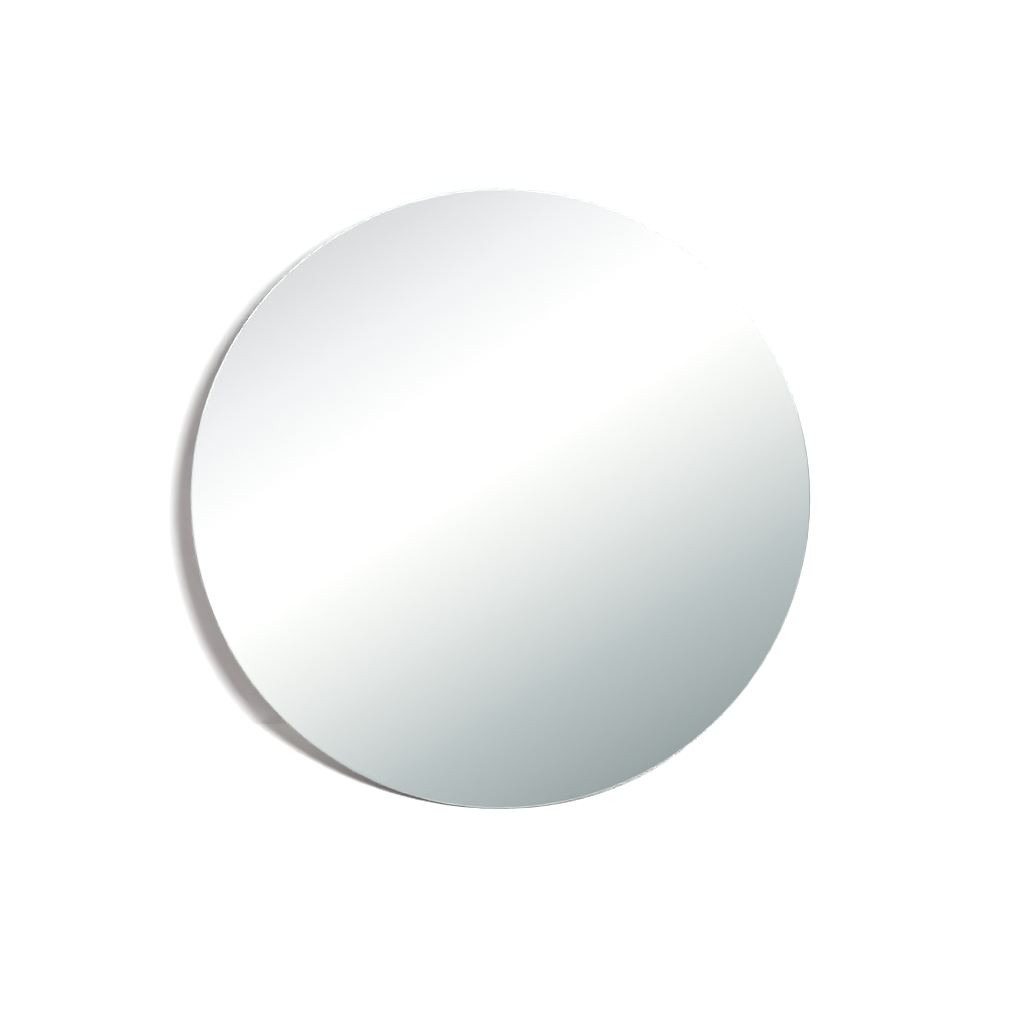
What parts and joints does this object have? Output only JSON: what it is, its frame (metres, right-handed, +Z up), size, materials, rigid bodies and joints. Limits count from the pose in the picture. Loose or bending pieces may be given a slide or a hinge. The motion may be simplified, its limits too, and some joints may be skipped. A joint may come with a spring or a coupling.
{
  "type": "countertop mirror",
  "caption": "Frameless round mirror glass on a black easel back; a hinged strut with a ribbon stay folds out to stand it on a counter, leaning back.",
  "frame": {"origin": "on the counter, under the middle of the open mirror's outline", "axes": "+Z up, +X to the right across the glass as seen from its front, and the glass faces -Y, leaning back towards +Y"},
  "size_m": [0.25, 0.09, 0.2397],
  "materials": {
    "float_glass": "polished",
    "silvering": "polished",
    "backing_paint": "satin",
    "foam_tape": "matte",
    "board_edge": "matte",
    "cover_paper": "matte",
    "heel_plastic": "satin",
    "pad_rubber": "matte",
    "screw_steel": "polished",
    "nickel_plate": "satin",
    "pin_steel": "satin",
    "tack_nickel": "polished",
    "ribbon_weave": "satin",
    "strut_edge": "matte",
    "wrap_paper": "matte",
    "shoe_rubber": "matte"
  },
  "bodies": {
    "mirror": {"mirror_glass": "float_glass", "silver_coat": "silvering", "backing_paint": "backing_paint", "tape_strip_1": "foam_tape", "tape_strip_2": "foam_tape", "tape_strip_3": "foam_tape", "tape_strip_4": "foam_tape", "back_board": "board_edge", "board_cover": "cover_paper", "heel_block": "heel_plastic", "heel_pad": "pad_rubber", "heel_screws": "screw_steel", "hinge_board_leaf": "nickel_plate", "hinge_board_screws": "screw_steel", "hinge_pin": "pin_steel", "ribbon_tack": "tack_nickel", "stay_ribbon": "ribbon_weave"},
    "strut": {"strut_panel": "strut_edge", "strut_wrap_inner": "wrap_paper", "strut_wrap_outer": "wrap_paper", "hinge_strut_leaf": "nickel_plate", "hinge_strut_screws": "screw_steel", "ribbon_eyelet": "tack_nickel", "strut_shoe_left": "shoe_rubber", "strut_shoe_right": "shoe_rubber"}
  },
  "joints": [
    {"name": "strut_fold", "type": "hinge", "parent": "mirror", "child": "strut", "pos_m": [0, 0.01992, 0.15757], "axis": [-1, 0, 0], "range_deg": [0, 26], "deforming": ["stay_ribbon"]}
  ]
}
